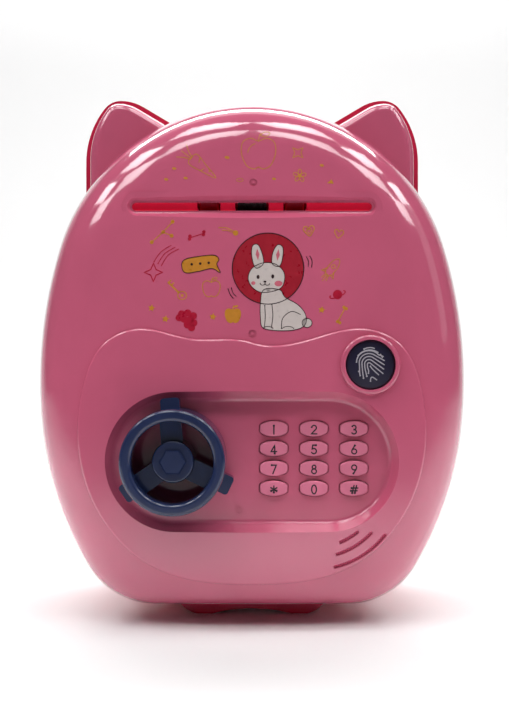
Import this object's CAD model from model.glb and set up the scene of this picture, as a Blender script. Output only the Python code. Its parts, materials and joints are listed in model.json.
"""Looks of the toy safe coin bank: moulded plastics, printed pictures, key digits, studio and camera.

Lengths in the drawings are in millimetres, in the frame's X and Z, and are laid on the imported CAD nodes.
"""
import json
import math

import bmesh
import bpy
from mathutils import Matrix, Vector
from mathutils.bvhtree import BVHTree
from mathutils.geometry import delaunay_2d_cdt


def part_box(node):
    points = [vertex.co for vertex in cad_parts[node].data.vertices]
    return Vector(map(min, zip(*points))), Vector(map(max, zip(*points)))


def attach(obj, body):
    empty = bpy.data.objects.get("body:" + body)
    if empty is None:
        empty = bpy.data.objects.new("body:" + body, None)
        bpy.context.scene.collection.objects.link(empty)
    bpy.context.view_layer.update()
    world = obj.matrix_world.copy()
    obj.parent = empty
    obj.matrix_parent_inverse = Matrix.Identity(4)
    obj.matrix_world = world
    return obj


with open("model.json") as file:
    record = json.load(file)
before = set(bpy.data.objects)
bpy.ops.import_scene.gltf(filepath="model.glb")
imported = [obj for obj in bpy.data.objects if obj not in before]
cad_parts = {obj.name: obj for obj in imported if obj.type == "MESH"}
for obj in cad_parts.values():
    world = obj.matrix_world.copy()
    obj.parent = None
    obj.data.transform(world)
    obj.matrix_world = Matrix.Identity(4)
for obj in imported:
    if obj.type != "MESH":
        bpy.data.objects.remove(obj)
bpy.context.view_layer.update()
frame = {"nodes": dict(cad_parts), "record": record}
MM = 0.001
nodes = frame["nodes"]
scene = bpy.context.scene


# ---------------------------------------------------------------- materials
class Graph:
    """A material's node tree with short calls for the nodes used here."""

    def __init__(self, name):
        self.material = bpy.data.materials.new(name)
        self.material.use_nodes = True
        self.tree = self.material.node_tree
        self.shader = self.tree.nodes["Principled BSDF"]
        self.object = self.node("ShaderNodeTexCoord").outputs["Object"]

    def node(self, kind, inputs=None, **settings):
        made = self.tree.nodes.new(kind)
        for key, value in settings.items():
            setattr(made, key, value)
        for key, value in (inputs or {}).items():
            self.put(made.inputs[key], value)
        return made

    def put(self, socket, value):
        if isinstance(value, bpy.types.NodeSocket):
            self.tree.links.new(value, socket)
        else:
            socket.default_value = value

    def noise(self, scale, detail=2.0, stretch=None, rough=0.5, distortion=0.0):
        vector = self.object
        if stretch:
            vector = self.node("ShaderNodeMapping", {"Vector": vector, "Scale": stretch}).outputs[0]
        inputs = {"Vector": vector, "Scale": scale, "Detail": detail, "Roughness": rough,
                  "Distortion": distortion}
        return self.node("ShaderNodeTexNoise", inputs).outputs["Fac"]

    def ramp(self, value, low, high, out_low=0.0, out_high=1.0):
        inputs = {"Value": value, "From Min": low, "From Max": high, "To Min": out_low, "To Max": out_high}
        return self.node("ShaderNodeMapRange", inputs, clamp=True).outputs[0]

    def math(self, operation, a, b):
        return self.node("ShaderNodeMath", {0: a, 1: b}, operation=operation).outputs[0]

    def mix(self, factor, a, b):
        inputs = {"Factor": factor, 6: a, 7: b}
        return self.node("ShaderNodeMix", inputs, data_type="RGBA").outputs[2]

    def bump(self, height, strength, distance, normal=None):
        inputs = {"Height": height, "Strength": strength, "Distance": distance}
        if normal:
            inputs["Normal"] = normal
        return self.node("ShaderNodeBump", inputs).outputs[0]

    def surface(self, **values):
        for key, value in values.items():
            self.put(self.shader.inputs[key.replace("_", " ")], value)
        return self.material


TONE = 0.84   # every plastic, ink and metal is this much darker than its named colour


def rgb(color, gain=1.0):
    return tuple(min(1.0, c * gain * TONE) for c in color) + (1.0,)


def moulded(name, color, rough=0.25, mottle=0.10, grain=0.0, grain_scale=1600.0, coat=0.0,
            glow=0.0):
    """Injection-moulded plastic: faint flow clouds, handling haze, fine specks and hairline scratches.

    Grain is the depth of a matt texture, and glow is a faint light of the plastic's own colour.
    """
    g = Graph(name)
    clouds = g.ramp(g.noise(22.0, 3.0, distortion=0.6), 0.3, 0.7)
    tint = g.mix(clouds, rgb(color, 1.0 - mottle), rgb(color, 1.0 + mottle))
    specks = g.ramp(g.noise(1400.0, 1.0), 0.72, 0.80, 0.0, 0.12)
    tint = g.mix(specks, tint, rgb(color, 0.62))
    haze = g.ramp(g.noise(60.0, 4.0, rough=0.65), 0.35, 0.75, rough * 0.9, rough * 1.15)
    lines = g.noise(240.0, 2.0, stretch=(1.0, 1.0, 14.0))
    scratch = g.ramp(lines, 0.66, 0.80, 0.0, 0.03)
    finish = g.math("ADD", haze, scratch)
    normal = g.bump(g.noise(140.0, 2.0), 0.06, 0.0006)
    if grain:
        normal = g.bump(g.noise(grain_scale, 3.0, rough=0.7), grain, 0.0002, normal)
    return g.surface(Base_Color=tint, Roughness=finish, Normal=normal, IOR=1.5,
                     Coat_Weight=coat, Coat_Roughness=0.03, Coat_IOR=1.6,
                     Emission_Color=rgb(color), Emission_Strength=glow)


def rubber(name, color):
    g = Graph(name)
    dust = g.ramp(g.noise(300.0, 4.0, rough=0.7), 0.45, 0.75)
    tint = g.mix(dust, rgb(color), rgb(tuple(c + 0.05 for c in color)))
    normal = g.bump(g.noise(2200.0, 3.0, rough=0.7), 0.4, 0.0002)
    return g.surface(Base_Color=tint, Roughness=g.ramp(dust, 0.0, 1.0, 0.55, 0.8), Normal=normal)


def metal(name, color, rough=0.3, stretch=(1.0, 1.0, 30.0)):
    """Drawn or plated metal with brushing lines and dull spots."""
    g = Graph(name)
    lines = g.noise(500.0, 3.0, stretch=stretch)
    tint = g.mix(g.ramp(lines, 0.3, 0.7), rgb(color, 0.8), rgb(color, 1.1))
    dull = g.ramp(g.noise(180.0, 4.0), 0.5, 0.8, rough, rough + 0.25)
    return g.surface(Base_Color=tint, Metallic=1.0, Roughness=dull, Normal=g.bump(lines, 0.15, 0.0001))


def circuit(name):
    """Green board with copper-coloured tracks and a fine weave."""
    g = Graph(name)
    cells = g.node("ShaderNodeTexVoronoi", {"Vector": g.object, "Scale": 260.0},
                   feature="DISTANCE_TO_EDGE", distance="MANHATTAN").outputs["Distance"]
    tracks = g.ramp(cells, 0.05, 0.09, 1.0, 0.0)
    tint = g.mix(tracks, rgb((0.012, 0.10, 0.04)), rgb((0.05, 0.22, 0.08)))
    normal = g.bump(tracks, 0.3, 0.0001, g.bump(g.noise(3000.0, 1.0), 0.2, 0.0001))
    return g.surface(Base_Color=tint, Roughness=g.ramp(tracks, 0.0, 1.0, 0.45, 0.3), Normal=normal)


def winding(name):
    """Enamelled copper wire in close turns round a vertical bobbin."""
    g = Graph(name)
    wave = g.node("ShaderNodeTexWave", {"Vector": g.object, "Scale": 700.0, "Distortion": 0.4},
                  bands_direction="Z").outputs["Fac"]
    tint = g.mix(wave, rgb((0.16, 0.05, 0.02)), rgb((0.62, 0.24, 0.10)))
    return g.surface(Base_Color=tint, Metallic=0.8, Roughness=g.ramp(wave, 0.0, 1.0, 0.5, 0.3),
                     Normal=g.bump(wave, 0.6, 0.0002))


def battery(name):
    """A printed cell wrap: dark, with one copper-coloured end."""
    g = Graph(name)
    x = g.node("ShaderNodeSeparateXYZ", {0: g.object}).outputs[0]
    low, high = (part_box("battery_cells")[i].x for i in (0, 1))
    band = g.ramp(x, low + 0.28 * (high - low), low + 0.285 * (high - low))
    grime = g.noise(120.0, 3.0)
    tint = g.mix(band, rgb((0.45, 0.17, 0.06)), rgb((0.015, 0.016, 0.02)))
    tint = g.mix(g.ramp(grime, 0.5, 0.8, 0.0, 0.3), tint, rgb((0.1, 0.09, 0.08)))
    return g.surface(Base_Color=tint, Roughness=g.ramp(grime, 0.3, 0.7, 0.2, 0.35),
                     Normal=g.bump(g.noise(400.0, 2.0), 0.08, 0.0002))


def cloth(name, color):
    """Plain woven dust cloth: crossed threads with a little fuzz."""
    g = Graph(name)
    threads = [g.node("ShaderNodeTexWave", {"Vector": g.object, "Scale": 420.0, "Distortion": 0.3},
                      bands_direction=axis).outputs["Fac"] for axis in ("X", "Z")]
    weave = g.math("MAXIMUM", *threads)
    tint = g.mix(g.ramp(weave, 0.3, 0.9), rgb(color, 0.45), rgb(color, 1.1))
    tint = g.mix(g.ramp(g.noise(900.0, 3.0), 0.5, 0.8, 0.0, 0.3), tint, rgb(color, 0.6))
    return g.surface(Base_Color=tint, Roughness=g.ramp(weave, 0.0, 1.0, 0.95, 0.75),
                     Normal=g.bump(weave, 0.5, 0.0002), Emission_Color=tint, Emission_Strength=0.30)


def paper_cone(name):
    g = Graph(name)
    fibre = g.noise(1500.0, 4.0, rough=0.8)
    tint = g.mix(fibre, rgb((0.02, 0.02, 0.022)), rgb((0.07, 0.07, 0.075)))
    return g.surface(Base_Color=tint, Roughness=g.ramp(fibre, 0.3, 0.7, 0.75, 0.95),
                     Normal=g.bump(fibre, 0.5, 0.0002))


def ink(name, color, rough=0.32, patchy=0.06, pinholes=0.18):
    """Pad-printed ink: slightly uneven cover and pinholes."""
    g = Graph(name)
    cover = g.ramp(g.noise(500.0, 3.0), 0.3, 0.7)
    tint = g.mix(cover, rgb(color, 1.0 - patchy), rgb(color, 1.0 + patchy))
    grain = g.noise(1800.0, 2.0)
    tint = g.mix(g.ramp(grain, 0.68, 0.78, 0.0, pinholes), tint, rgb(color, 0.6))
    return g.surface(Base_Color=tint, Roughness=g.ramp(cover, 0.0, 1.0, rough * 0.8, rough * 1.2),
                     Normal=g.bump(grain, 0.12, 0.0001))


PINK = (0.72, 0.135, 0.245)
ROSE = (0.72, 0.022, 0.085)
slot_material = {
    "shell_pink": moulded("shell_pink", PINK, rough=0.12, mottle=0.04, coat=1.0),
    "tub_rose": moulded("tub_rose", ROSE, rough=0.24, mottle=0.05, coat=0.25),
    "cover_rose": moulded("cover_rose", (0.45, 0.025, 0.075), rough=0.4, grain=0.25),
    "knob_navy": moulded("knob_navy", (0.018, 0.030, 0.095), rough=0.20, mottle=0.12, coat=0.4),
    "button_navy": moulded("button_navy", (0.014, 0.011, 0.038), rough=0.36, grain=0.1),
    "key_pink": moulded("key_pink", (0.82, 0.21, 0.34), rough=0.55, grain=0.6, grain_scale=1100.0),
    "feeder_red": moulded("feeder_red", (1.0, 0.010, 0.065), rough=0.35, mottle=0.0, glow=0.23),
    "wheel_red": moulded("wheel_red", (0.55, 0.010, 0.045), rough=0.5, grain=0.2),
    "black_rubber": rubber("black_rubber", (0.012, 0.012, 0.013)),
    "key_rubber": rubber("key_rubber", (0.26, 0.27, 0.29)),
    "steel": metal("steel", (0.55, 0.55, 0.57)),
    "board_green": circuit("board_green"),
    "part_black": moulded("part_black", (0.015, 0.015, 0.017), rough=0.45, grain=0.3),
    "copper_coil": winding("copper_coil"),
    "cone_paper": paper_cone("cone_paper"),
    "white_nylon": moulded("white_nylon", (0.72, 0.71, 0.66), rough=0.42, mottle=0.06),
    "cell_wrap": battery("cell_wrap"),
    "cloth_rose": cloth("cloth_rose", (0.90, 0.16, 0.30)),
}
for part in frame["record"]["subparts"]:
    mesh = nodes[part["node"]].data
    mesh.materials.clear()
    mesh.materials.append(slot_material[part["material_slot"]])


# ---------------------------------------------------------------- drawing in X and Z
def arc(cx, cz, rx, rz, start, end, count=None):
    """Points along an elliptical arc, in degrees."""
    count = count or max(4, int(abs(end - start) / 12))
    angles = [math.radians(start + (end - start) * i / count) for i in range(count + 1)]
    return [(cx + rx * math.cos(a), cz + rz * math.sin(a)) for a in angles]


def loop(cx, cz, rx, rz=None, count=36):
    return arc(cx, cz, rx, rz or rx, 0, 360, count)[:-1]


def smooth(points, closed=False, steps=6):
    """A Catmull-Rom curve through the points."""
    n = len(points)
    out = []
    for i in range(n if closed else n - 1):
        p = [points[(i + k) % n] if closed else points[min(max(i + k, 0), n - 1)] for k in (-1, 0, 1, 2)]
        for s in range(steps):
            t = s / steps
            w = (-t + 2 * t * t - t**3, 2 - 5 * t * t + 3 * t**3, t + 4 * t * t - 3 * t**3, t**3 - t * t)
            out.append(tuple(sum(w[k] * p[k][c] for k in range(4)) / 2 for c in (0, 1)))
    return out if closed else out + [points[-1]]


def place(points, x, z, scale=1.0, turn=0.0):
    c, s = math.cos(math.radians(turn)) * scale, math.sin(math.radians(turn)) * scale
    return [(x + px * c - pz * s, z + px * s + pz * c) for px, pz in points]


def resample(points, step, closed):
    """The same line with no stretch longer than a step."""
    out = []
    ends = points[1:] + points[:1] if closed else points[1:]
    for a, b in zip(points, ends):
        count = max(1, math.ceil(math.dist(a, b) / step))
        out += [(a[0] + (b[0] - a[0]) * i / count, a[1] + (b[1] - a[1]) * i / count) for i in range(count)]
    return out if closed else out + [points[-1]]


def ribbon(points, width, closed=False):
    """A stroke of even width with round ends, as vertices and faces."""
    points = resample([p for i, p in enumerate(points) if i == 0 or math.dist(p, points[i - 1]) > 0.02],
                      1.0, closed)
    n, half = len(points), width / 2
    sides = []
    for i, p in enumerate(points):
        before = points[i - 1] if closed or i else p
        after = points[(i + 1) % n] if closed or i < n - 1 else p
        a = Vector((p[0] - before[0], p[1] - before[1]))
        b = Vector((after[0] - p[0], after[1] - p[1]))
        a, b = (a or b).normalized(), (b or a).normalized()
        along = (a + b).normalized() if (a + b).length > 0.2 else a
        across = Vector((-along.y, along.x))
        reach = half / max(0.6, across.dot(Vector((-a.y, a.x))))
        sides.append((Vector(p), across * reach, along))
    verts = [tuple(p + s) for p, s, _ in sides] + [tuple(p - s) for p, s, _ in sides]
    faces = [(i, (i + 1) % n, n + (i + 1) % n, n + i) for i in range(n if closed else n - 1)]
    if not closed:
        for index, sign in ((0, -1), (n - 1, 1)):
            p, s, along = sides[index]
            ring = [index]
            for k in range(1, 5):
                angle = math.pi * k / 5
                q = p + s * math.cos(angle) + along.normalized() * (sign * half * math.sin(angle))
                ring.append(len(verts))
                verts.append(tuple(q))
            faces.append(tuple(ring + [n + index]))
    return verts, faces


CLOSEST = 0.55   # an inner point stays this share of a step away from the others


def filled(points, step=1.5):
    """A closed outline as small triangles, so that it can follow a curved surface."""
    verts = [Vector(p) for p in resample(points, step, True)]
    edges = [(i, (i + 1) % len(verts)) for i in range(len(verts))]
    xs, zs = [v.x for v in verts], [v.y for v in verts]
    x = min(xs) + step
    while x < max(xs):
        z = min(zs) + step
        while z < max(zs):
            if min((v - Vector((x, z))).length for v in verts) > step * CLOSEST:
                verts.append(Vector((x, z)))
            z += step
        x += step
    inside_only = 1
    made = delaunay_2d_cdt(verts, edges, [], inside_only, 1e-5)
    return [tuple(v) for v in made[0]], [tuple(f) for f in made[2]]


class Surface:
    """The front of a CAD node, found by looking along +Y."""

    def __init__(self, name):
        mesh = nodes[name].data
        self.tree = BVHTree.FromPolygons([v.co for v in mesh.vertices], [p.vertices for p in mesh.polygons])

    def y(self, x, z):
        hit = self.tree.ray_cast(Vector((x * MM, -0.3, z * MM)), Vector((0, 1, 0)))[0]
        return hit.y if hit else None


def lay(name, body, surface, shapes, material, lift=0.05, depth=0.12):
    """Lays flat shapes on a surface as one thin closed print that rides a body.

    The print stands out by the lift, and is as thick as the depth, both in millimetres.
    """
    bm = bmesh.new()
    for verts, faces in shapes:
        ys = [surface.y(x, z) for x, z in verts]
        known = [y for y in ys if y is not None]
        ys = [max(known) if y is None else y for y in ys]
        made = [[bm.verts.new((x * MM, y + shift * MM, z * MM)) for (x, z), y in zip(verts, ys)]
                for shift in (-lift, depth - lift)]
        sides = {}
        for face in faces:
            if len(set(face)) < 3:
                continue
            area = sum(verts[a][0] * verts[b][1] - verts[b][0] * verts[a][1]
                       for a, b in zip(face, face[1:] + face[:1]))
            face = face if area > 0 else tuple(reversed(face))
            bm.faces.new([made[0][i] for i in face])
            bm.faces.new([made[1][i] for i in reversed(face)])
            for a, b in zip(face, face[1:] + face[:1]):
                sides[(a, b)] = True
        for a, b in sides:
            if (b, a) not in sides:
                bm.faces.new([made[0][b], made[0][a], made[1][a], made[1][b]])
    loose = [v for v in bm.verts if not v.link_faces]
    bmesh.ops.delete(bm, geom=loose, context="VERTS")
    mesh = bpy.data.meshes.new(name)
    bm.to_mesh(mesh)
    bm.free()
    mesh.materials.append(material)
    piece = bpy.data.objects.new(name, mesh)
    scene.collection.objects.link(piece)
    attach(piece, body)
    return piece


# ---------------------------------------------------------------- small generic pictures
def star(tips, notch, x, z, r, turn):
    """A star whose notches lie at a share of the radius of its tips."""
    step = math.pi / tips
    radii = [r, r * notch] * tips
    points = [(q * math.cos(step * i), q * math.sin(step * i)) for i, q in enumerate(radii)]
    return place(points, x, z, 1.0, turn)


def star4(x, z, r, turn):
    return star(4, 0.42, x, z, r, turn)


def star5(x, z, r, turn):
    return star(5, 0.5, x, z, r, turn)


def heart(x, z, r, turn):
    half = [(0.0, 0.45), (0.38, 0.85), (0.85, 0.75), (0.95, 0.25), (0.55, -0.35), (0.0, -0.9)]
    other = [(-a, b) for a, b in reversed(half[1:-1])]
    return place(smooth(half + other, True), x, z, r, turn)


def apple(x, z, w):
    """Body, stem and leaf of an apple about w wide."""
    half = [(0.24, 0.46), (0.46, 0.34), (0.5, 0.02), (0.36, -0.34), (0.14, -0.46)]
    other = [(-a, b) for a, b in reversed(half)]
    body = smooth([(0, 0.38)] + half + [(0, -0.40)] + other, True)
    stem = [(0.0, 0.36), (0.02, 0.52), (0.07, 0.62)]
    leaf = smooth([(0.07, 0.55), (0.2, 0.66), (0.34, 0.62), (0.22, 0.52)], True)
    return place(body, x, z, w), place(stem, x, z, w), place(leaf, x, z, w)


def carrot(x, z, s, turn):
    """The root's outline, and the strokes of its leaves and rings."""
    root = smooth([(-0.42, 0.16), (-0.30, 0.22), (0.1, 0.12), (0.62, -0.02), (0.1, -0.14), (-0.30, -0.20),
                   (-0.44, -0.12)], True)
    leaves = [smooth([(-0.42, 0.05 * k), (-0.62, 0.12 * k), (-0.84, 0.26 * k)]) for k in (-1, 0, 1)]
    rings = [[(-0.2, 0.17), (-0.14, 0.04)], [(0.08, -0.13), (0.12, -0.02)], [(0.3, 0.06), (0.32, -0.01)]]
    return place(root, x, z, s, turn), [place(p, x, z, s, turn) for p in leaves + rings]


THIN, LINE = 0.34, 0.42   # widths of the printed lines
FINE = 0.3                # width of the dark lines in the figures
door = Surface("door_shell")
yellow, red, dark, white, blush = [], [], [], [], []


def outline(target, points, width=LINE):
    target.append(ribbon(points, width, closed=True))


def line(target, points, width=LINE):
    target.append(ribbon(points, width))


def dot(target, x, z, r):
    target.append(filled(loop(x, z, r, count=16), 0.9))


def draw_above_slot():
    """Carrot, apple, star, flower and seeds above the banknote slot."""
    root, strokes = carrot(-21.5, 197.6, 13.0, -38.0)
    outline(yellow, root, THIN)
    for stroke in strokes:
        line(yellow, stroke, THIN)
    body, stem, leaf = apple(2.8, 203.0, 14.6)
    outline(yellow, body, THIN)
    line(yellow, stem, THIN)
    outline(yellow, leaf, THIN)
    line(yellow, arc(2.8, 203.0, 4.6, 4.6, 110, 175), THIN)
    outline(yellow, star4(19.6, 203.4, 3.1, 45.0), THIN)
    for k in range(5):
        petal = place(loop(1.7, 0, 1.15, 0.75, 14), 20.3, 193.4, 1.0, 72 * k + 15)
        outline(yellow, petal, THIN)
    dot(yellow, 20.3, 193.4, 0.5)
    for x, z, r in ((-33.1, 196.6, 0.75), (-36.5, 191.9, 0.75), (-28.2, 192.4, 0.75), (-10.6, 201.3, 0.85),
                    (9.4, 192.0, 0.7), (29.8, 197.9, 0.75)):
        seed = loop(0, 0, r * 1.3, r * 0.75, 14)
        yellow.append(filled(place(seed, x, z, 1.0, -10), 0.8))
    yellow.append(filled([(31.9, 190.2), (34.8, 190.0), (33.9, 191.9)], 0.8))
    outline(yellow, loop(-5.1, 191.5, 1.4, 0.7, 14), 0.25)


def draw_under_slot():
    """Twig, bone, two comets and two hearts in the row under the slot."""
    for end in ((-33.6, 173.6), (-42.4, 164.9), (-34.0, 167.6)):
        line(yellow, [(-37.6, 169.2), end])
        dot(yellow, end[0], end[1], 0.85)
    dot(yellow, -37.6, 169.2, 0.8)
    line(red, [(-26.1, 166.7), (-20.6, 168.5)])
    for x, z in ((-26.4, 166.2), (-26.2, 167.4), (-20.5, 168.0), (-20.3, 169.2)):
        dot(red, x, z, 0.75)
    line(yellow, smooth([(-14.0, 171.0), (-10.6, 170.9), (-7.4, 169.2)]), THIN)
    line(yellow, smooth([(-12.6, 169.9), (-10.2, 169.8), (-7.6, 168.6)]), THIN)
    dot(yellow, -6.9, 168.7, 1.15)
    outline(red, star4(-41.6, 152.0, 3.9, 0.0), 0.45)
    for dx in (-1.0, 0.7, 2.2):
        tail = [(-40.4, 156.0 - 0.5 * dx), (-37.6, 160.2 - 0.4 * dx), (-33.2, 163.0 - 0.5 * dx)]
        line(red, smooth([(x + dx, z) for x, z in tail]), THIN)
    outline(yellow, heart(24.2, 169.6, 2.4, 8.0))
    outline(yellow, heart(24.2, 169.5, 1.1, 8.0), FINE)
    outline(yellow, heart(36.8, 168.4, 2.0, -10.0))


def draw_bubble():
    """A speech bubble with three dots in it."""
    bubble = smooth([(-29.6, 154.6), (-28.4, 157.4), (-22.0, 158.8), (-15.8, 159.2), (-13.9, 157.4),
                     (-14.8, 155.4), (-13.4, 151.8), (-16.8, 153.6), (-22.4, 152.4), (-28.0, 151.8)], True)
    yellow.append(filled(bubble))
    for k in range(3):
        dot(dark, -25.4 + 3.6 * k, 155.4 + 0.3 * k, 0.55)
    outline(dark, bubble, FINE)


def draw_left():
    """Apple and key to the left of the bunny."""
    body, stem, leaf = apple(-17.1, 145.0, 7.4)
    outline(yellow, body, THIN)
    line(yellow, stem, THIN)
    outline(yellow, leaf, 0.25)
    outline(yellow, place(loop(0, 0, 1.9, 1.7, 18), -29.4, 142.2))
    dot(yellow, -29.4, 142.2, 0.6)
    line(yellow, [(-30.8, 143.4), (-35.2, 147.6)], 0.7)
    line(yellow, [(-34.0, 146.4), (-33.0, 147.5)], 0.6)
    line(yellow, [(-35.2, 147.6), (-34.2, 148.6)], 0.6)


def draw_rocket(x, z, size, turn):
    """A little rocket with a window, two fins and three flames."""
    hull = smooth([(0, 1.0), (0.3, 0.55), (0.32, -0.1), (0.22, -0.5), (-0.22, -0.5), (-0.32, -0.1),
                   (-0.3, 0.55)], True)
    outline(yellow, place(hull, x, z, size, turn), THIN)
    outline(yellow, place(loop(0, 0.25, 0.15, 0.15, 12), x, z, size, turn), THIN)
    for side in (-1, 1):
        fin = [(0.3 * side, -0.1), (0.58 * side, -0.55), (0.24 * side, -0.42)]
        line(yellow, place(fin, x, z, size, turn), THIN)
    for dx, length in ((-0.14, 0.38), (0.0, 0.53), (0.14, 0.38)):
        flame = [(dx, -0.62), (dx * 1.6, -0.62 - length)]
        line(yellow, place(flame, x, z, size, turn), THIN)


def draw_right():
    """Rocket and ringed planet to the right of the bunny."""
    draw_rocket(33.6, 153.4, 5.4, -38.0)
    dot(red, 36.1, 142.6, 2.0)
    line(red, place(arc(0, 0, 3.5, 1.1, 150, 390), 36.1, 142.6, 1.0, 22.0), 0.5)


def draw_bottom_row():
    """Stars, berries, a small apple and a bone in the lowest row."""
    for x, z in ((-42.3, 136.9), (-36.4, 132.3), (-16.4, 133.2), (29.4, 136.1)):
        yellow.append(filled(star5(x, z, 1.6, 80.0), 0.9))
    line(yellow, [(36.4, 131.6), (39.0, 136.4)])
    for x, z in ((36.0, 131.2), (37.0, 130.7), (38.8, 137.2), (39.8, 136.6)):
        dot(yellow, x, z, 0.7)
    for x, z in ((-29.6, 134.4), (-27.0, 134.8), (-24.6, 133.6), (-28.6, 132.2), (-26.0, 132.0),
                 (-27.2, 129.8), (-24.4, 130.6), (-25.4, 128.6), (-30.6, 132.8)):
        dot(red, x, z, 1.55)
    body, stem, leaf = apple(-8.0, 133.6, 6.8)
    yellow.append(filled(body))
    line(yellow, stem, 0.5)
    yellow.append(filled(leaf, 0.8))


def draw_wiggles():
    """Pairs of short dark curves beside the red disc."""
    line(dark, smooth([(-8.6, 145.4), (-8.0, 143.3), (-6.6, 141.8)]), FINE)
    line(dark, smooth([(-10.0, 145.0), (-9.2, 142.7), (-7.8, 141.0)]), FINE)
    line(dark, smooth([(23.0, 158.6), (23.9, 156.7), (23.8, 154.4)]), FINE)
    line(dark, smooth([(24.5, 158.9), (25.4, 156.7), (25.2, 154.2)]), FINE)


def bunny_shapes():
    """Head, torso, tail and ears of a plain sitting bunny."""
    head = smooth([(4.6, 143.4), (0.2, 145.6), (-1.6, 149.6), (0.2, 153.8), (5.0, 156.0), (10.0, 155.4),
                   (13.4, 152.2), (13.6, 148.0), (11.4, 144.8)], True)
    torso = smooth([(5.0, 144.6), (3.6, 139.0), (3.6, 132.6), (4.6, 128.6), (10.0, 127.4), (17.6, 127.6),
                    (22.2, 129.6), (22.6, 134.0), (19.4, 138.2), (14.0, 141.4), (11.6, 144.6)], True)
    tail = loop(23.2, 130.6, 2.1, 1.9, 18)
    left_ear = smooth([(1.6, 153.8), (0.0, 158.4), (0.2, 163.0), (2.4, 163.8), (4.2, 160.4),
                       (4.8, 155.6)], True)
    right_ear = smooth([(8.6, 155.6), (8.8, 160.2), (10.8, 163.6), (13.0, 162.6), (13.0, 158.4),
                        (11.6, 154.6)], True)
    return head, torso, tail, left_ear, right_ear


def draw_bunny():
    """White shapes with dark outlines, face and legs, and pink cheeks and inner ears."""
    head, torso, tail, left_ear, right_ear = bunny_shapes()
    for shape in (torso, tail, head, left_ear, right_ear):
        white.append(filled(shape))
        outline(dark, shape, FINE)
    for x, z in ((2.6, 150.0), (8.8, 150.2)):
        dark.append(filled(loop(x, z, 0.62, 0.9, 14), 0.6))
    for x in (4.5, 6.5):
        line(dark, arc(x, 147.4, 1.0, 0.9, 190, 350), 0.28)
    dark.append(filled(loop(5.5, 148.0, 0.6, 0.42, 10), 0.5))
    line(dark, smooth([(8.4, 138.6), (8.8, 133.6), (8.2, 128.6)]), FINE)
    line(dark, smooth([(5.4, 138.0), (5.6, 133.0), (5.2, 128.8)]), FINE)
    line(dark, smooth([(12.4, 128.2), (13.0, 132.6), (16.6, 135.4), (20.4, 134.2)]), FINE)
    line(dark, arc(6.8, 127.9, 2.2, 1.2, 20, 160), 0.28)
    line(dark, arc(15.2, 127.8, 2.6, 1.3, 20, 160), 0.28)
    blush.append(filled(loop(11.2, 147.2, 1.7, 1.2, 16), 0.8))
    blush.append(filled(loop(0.6, 147.4, 0.9, 0.8, 14), 0.6))
    inner_ear = [(0, -2.6), (0.8, 0), (0, 2.6), (-0.8, 0)]
    for x, z, turn in ((2.4, 159.6, 4.0), (11.0, 159.4, -6.0)):
        blush.append(filled(place(inner_ear, x, z, 1.0, turn), 0.8))


DISC = (6.8, 153.6, 15.1)   # centre and radius of the red disc behind the bunny
draw_above_slot()
draw_under_slot()
draw_bubble()
draw_left()
draw_right()
draw_bottom_row()
draw_wiggles()
draw_bunny()
outline(dark, loop(*DISC, count=60), 0.36)

disc_ink = ink("ink_disc_red", (0.42, 0.012, 0.030), pinholes=0.05)
white_ink = ink("ink_white", (0.73, 0.64, 0.61), patchy=0.02, pinholes=0.08)
lay("print_red_disc", "door", door, [filled(loop(*DISC, count=60), 1.6)], disc_ink, 0.04)
lay("print_yellow", "door", door, yellow, ink("ink_yellow", (0.66, 0.27, 0.030)), 0.05)
lay("print_red", "door", door, red, ink("ink_red", (0.52, 0.008, 0.040)), 0.05)
lay("print_white", "door", door, white, white_ink, 0.08, 0.14)
lay("print_blush", "door", door, blush, ink("ink_blush", (0.70, 0.16, 0.22)), 0.11, 0.14)
lay("print_dark", "door", door, dark, ink("ink_dark", (0.030, 0.012, 0.016)), 0.12, 0.16)


# ---------------------------------------------------------------- digits on the keys
ROUND = 28   # points in the closed loops of 0, 6, 8 and 9


def digit_strokes(name):
    """Thin upright strokes of a digit, one unit high and centred on the origin."""
    circle = loop(0, 0, 1, 1, ROUND)
    glyphs = {
        "1": [[(0, 0.5), (0, -0.5)]],
        "2": [arc(0, 0.22, 0.27, 0.27, 170, -38) + [(-0.30, -0.48), (0.32, -0.48)]],
        "3": [arc(-0.02, 0.25, 0.23, 0.24, 150, -90), arc(-0.02, -0.24, 0.27, 0.25, 90, -150)],
        "4": [[(0.10, -0.5), (0.10, 0.5), (-0.32, -0.24), (0.32, -0.24)]],
        "5": [[(0.26, 0.5), (-0.14, 0.5), (-0.22, 0.06)] + arc(-0.02, -0.18, 0.29, 0.30, 118, -150)],
        "6": [[(0.10, 0.5), (-0.24, -0.04)], place(circle, 0, -0.22, 0.28)],
        "7": [[(-0.28, 0.48), (0.28, 0.48), (-0.12, -0.5)]],
        "8": [place(circle, 0, 0.27, 0.21), place(circle, 0, -0.22, 0.27)],
        "9": [[(-0.10, -0.5), (0.24, 0.04)], place(circle, 0, 0.22, 0.28)],
        "star": [place([(-0.40, 0), (0.40, 0)], 0, 0, 1.0, a) for a in (30, 90, 150)],
        "0": [place([(x * 0.27, z * 0.5) for x, z in circle], 0, 0)],
        "hash": [[(-0.24, -0.45), (-0.02, 0.45)], [(0.06, -0.45), (0.28, 0.45)],
                 [(-0.34, 0.16), (0.42, 0.16)], [(-0.42, -0.16), (0.34, -0.16)]],
    }
    return glyphs[name]


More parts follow.
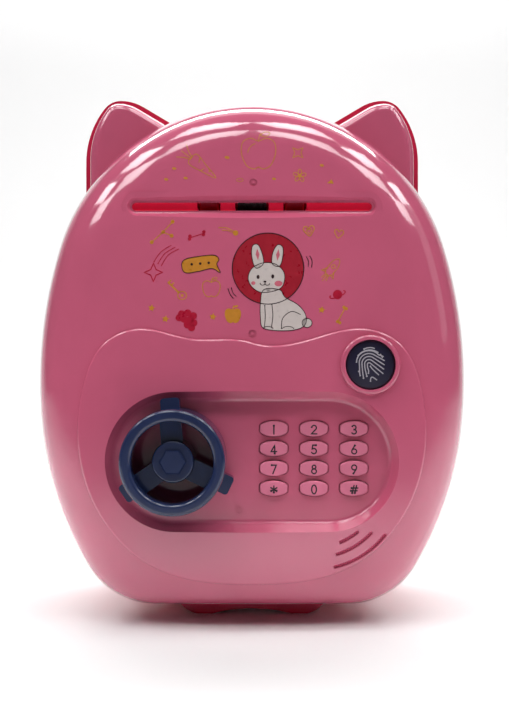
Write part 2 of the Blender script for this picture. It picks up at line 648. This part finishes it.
DIGIT_H, DIGIT_W = 3.7, 0.58   # height of a digit and width of its strokes
DIGIT_DROP = 0.3               # a digit sits this far below its key's middle
key_ink = ink("ink_key", (0.012, 0.010, 0.016), 0.5)
for name in ["1", "2", "3", "4", "5", "6", "7", "8", "9", "star", "0", "hash"]:
    low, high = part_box("key_" + name)
    cx, cz = (low.x + high.x) / 2 / MM, (low.z + high.z) / 2 / MM - DIGIT_DROP
    shapes = []
    for stroke in digit_strokes(name):
        points = place(stroke, cx, cz, DIGIT_H)
        shapes.append(ribbon(points, DIGIT_W, closed=len(stroke) == ROUND))
    lay("digit_" + name, "key_" + name, Surface("key_" + name), shapes, key_ink, 0.04, 0.1)


# ---------------------------------------------------------------- fingerprint on the button
def fingerprint(cx, cz):
    """A generic loop pattern: nested hoops whose right legs sweep down to the right."""
    core = (-0.6, 0.4)
    lines = []
    for i in range(5):
        r = 0.75 + 1.12 * i
        foot = [(-0.9, -3.3), (-1.5, -4.6), (-2.9, -5.4), (-4.3, -4.3), None][i]
        hoop = arc(core[0], core[1] + 0.25 * i, r, r * (1.0 - 0.02 * i), 178, 52 if i < 4 else 40, 12)
        left = [(core[0] - r, core[1] + 0.25 * i)]
        if foot:
            left = [foot, (core[0] - r + 0.55 - 0.12 * i, -2.2 - 0.3 * i), (core[0] - r + 0.1, -0.8)]
        start = hoop[-1]
        slope = 42.0 - 3.0 * i
        reach = [6.2, 5.4, 4.6, 3.7, 1.4][i]
        right = [(start[0] + reach * k / 3 * math.cos(math.radians(slope)) + 0.25 * k,
                  start[1] - reach * k / 3 * math.sin(math.radians(slope)) * 1.05) for k in (1, 2, 3)]
        lines.append(smooth(left + hoop + right, False, 4))
    lines.append(arc(-0.3, 1.6, 5.6, 4.9, 150, 52, 12))
    lines.append(arc(-0.2, 1.9, 5.4, 5.6, 118, 70, 8))
    lines.append(arc(-0.3, 1.6, 5.6, 4.9, 38, 20, 4))
    lines.append(smooth([(-0.1, -0.3), (0.9, -1.6), (3.4, -3.9)]))
    lines.append(smooth([(0.0, -6.6), (0.15, -5.3), (0.9, -4.9), (2.6, -6.0)]))
    lines.append([(-4.9, -2.6), (-4.7, -2.2)])
    return [ribbon(place(stroke, cx, cz), 0.45) for stroke in lines]


low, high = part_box("fingerprint_button")
button_front = Surface("fingerprint_button")
button_x, button_z = (low.x + high.x) / 2 / MM, (low.z + high.z) / 2 / MM
lay("fingerprint_lines", "button", button_front, fingerprint(button_x, button_z - 0.3),
    ink("ink_fingerprint", (0.50, 0.47, 0.52), 0.4), 0.05, 0.12)


# ---------------------------------------------------------------- studio
def studio_sweep():
    """A pale floor that curves up into a backdrop, and turns greyer in front of the object."""
    front, bend, radius, top, half_width = -2.2, 0.9, 0.7, 3.0, 3.0
    turns = [math.pi / 2 * i / 16 for i in range(17)]
    profile = [(front, 0.0)]
    profile += [(bend + radius * math.sin(a), radius - radius * math.cos(a)) for a in turns]
    profile += [(bend + radius, top)]
    bm = bmesh.new()
    rows = [[bm.verts.new((x, y, z)) for y, z in profile] for x in (-half_width, half_width)]
    for i in range(len(profile) - 1):
        bm.faces.new((rows[0][i], rows[1][i], rows[1][i + 1], rows[0][i + 1])).smooth = True
    mesh = bpy.data.meshes.new("studio_sweep")
    bm.to_mesh(mesh)
    bm.free()
    g = Graph("studio_paper")
    tone = g.mix(g.noise(3.0, 2.0), (0.87, 0.87, 0.87, 1.0), (0.91, 0.91, 0.91, 1.0))
    depth = g.node("ShaderNodeSeparateXYZ", {0: g.object}).outputs[1]
    tone = g.mix(g.ramp(depth, -0.50, -0.17), (0.42, 0.42, 0.42, 1.0), tone)
    mesh.materials.append(g.surface(Base_Color=tone, Roughness=0.9, Specular_IOR_Level=0.1))
    sweep = bpy.data.objects.new("studio_sweep", mesh)
    scene.collection.objects.link(sweep)


def area_light(name, place_at, aim, size, power, spread=180):
    """A rectangular lamp in metres and watts; spread is the width of its beam in degrees."""
    data = bpy.data.lights.new(name, "AREA")
    data.shape = "RECTANGLE"
    data.size, data.size_y = size
    data.energy = power
    data.spread = math.radians(spread)
    lamp = bpy.data.objects.new(name, data)
    lamp.location = place_at
    lamp.rotation_mode = "QUATERNION"
    lamp.rotation_quaternion = (Vector(aim) - Vector(place_at)).to_track_quat("-Z", "Y")
    scene.collection.objects.link(lamp)


CEILING_ROWS = [(-0.74, 1.08, 0.130), (-0.30, 1.20, 0.175)]   # depth, height and power of each row of lamps
LAMPS, LAMP_PITCH, AIM_PITCH = 6, 0.48, 0.096                  # the lamps of a row, and where each one points

studio_sweep()
for row, (depth, height, power) in enumerate(CEILING_ROWS):
    for k in range(LAMPS):
        step = k - (LAMPS - 1) / 2
        area_light("ceiling_%d_%d" % (row, k), (LAMP_PITCH * step, depth, height),
                   (AIM_PITCH * step, -0.02, 0.14), (0.42, 0.22), power, spread=50)
area_light("window_right", (1.5, -0.35, 0.75), (0, 0, 0.1), (0.5, 0.9), 0.65)
area_light("rear_top", (0, 0.45, 1.25), (0, 0.38, 0), (1.8, 0.5), 1.0, spread=80)
area_light("backdrop_wash", (0, 0.85, 1.9), (0, 1.3, 0.2), (2.6, 0.4), 43.0)

world = bpy.data.worlds.new("studio")
scene.world = world
world.use_nodes = True
back = world.node_tree.nodes["Background"]
back.inputs["Color"].default_value = (1.0, 0.98, 0.98, 1.0)
back.inputs["Strength"].default_value = 0.06

EYE = (0.0011, -0.4895, 0.115)   # level with the middle of the door, half a metre in front of it
camera_data = bpy.data.cameras.new("camera")
camera_data.lens = 52.5
camera_data.sensor_width = 36.0
camera = bpy.data.objects.new("camera", camera_data)
camera.location = EYE
camera.rotation_euler = (math.radians(90), 0, 0)
camera_data.clip_start = 0.01
scene.collection.objects.link(camera)
scene.camera = camera
scene.view_settings.view_transform = "Standard"
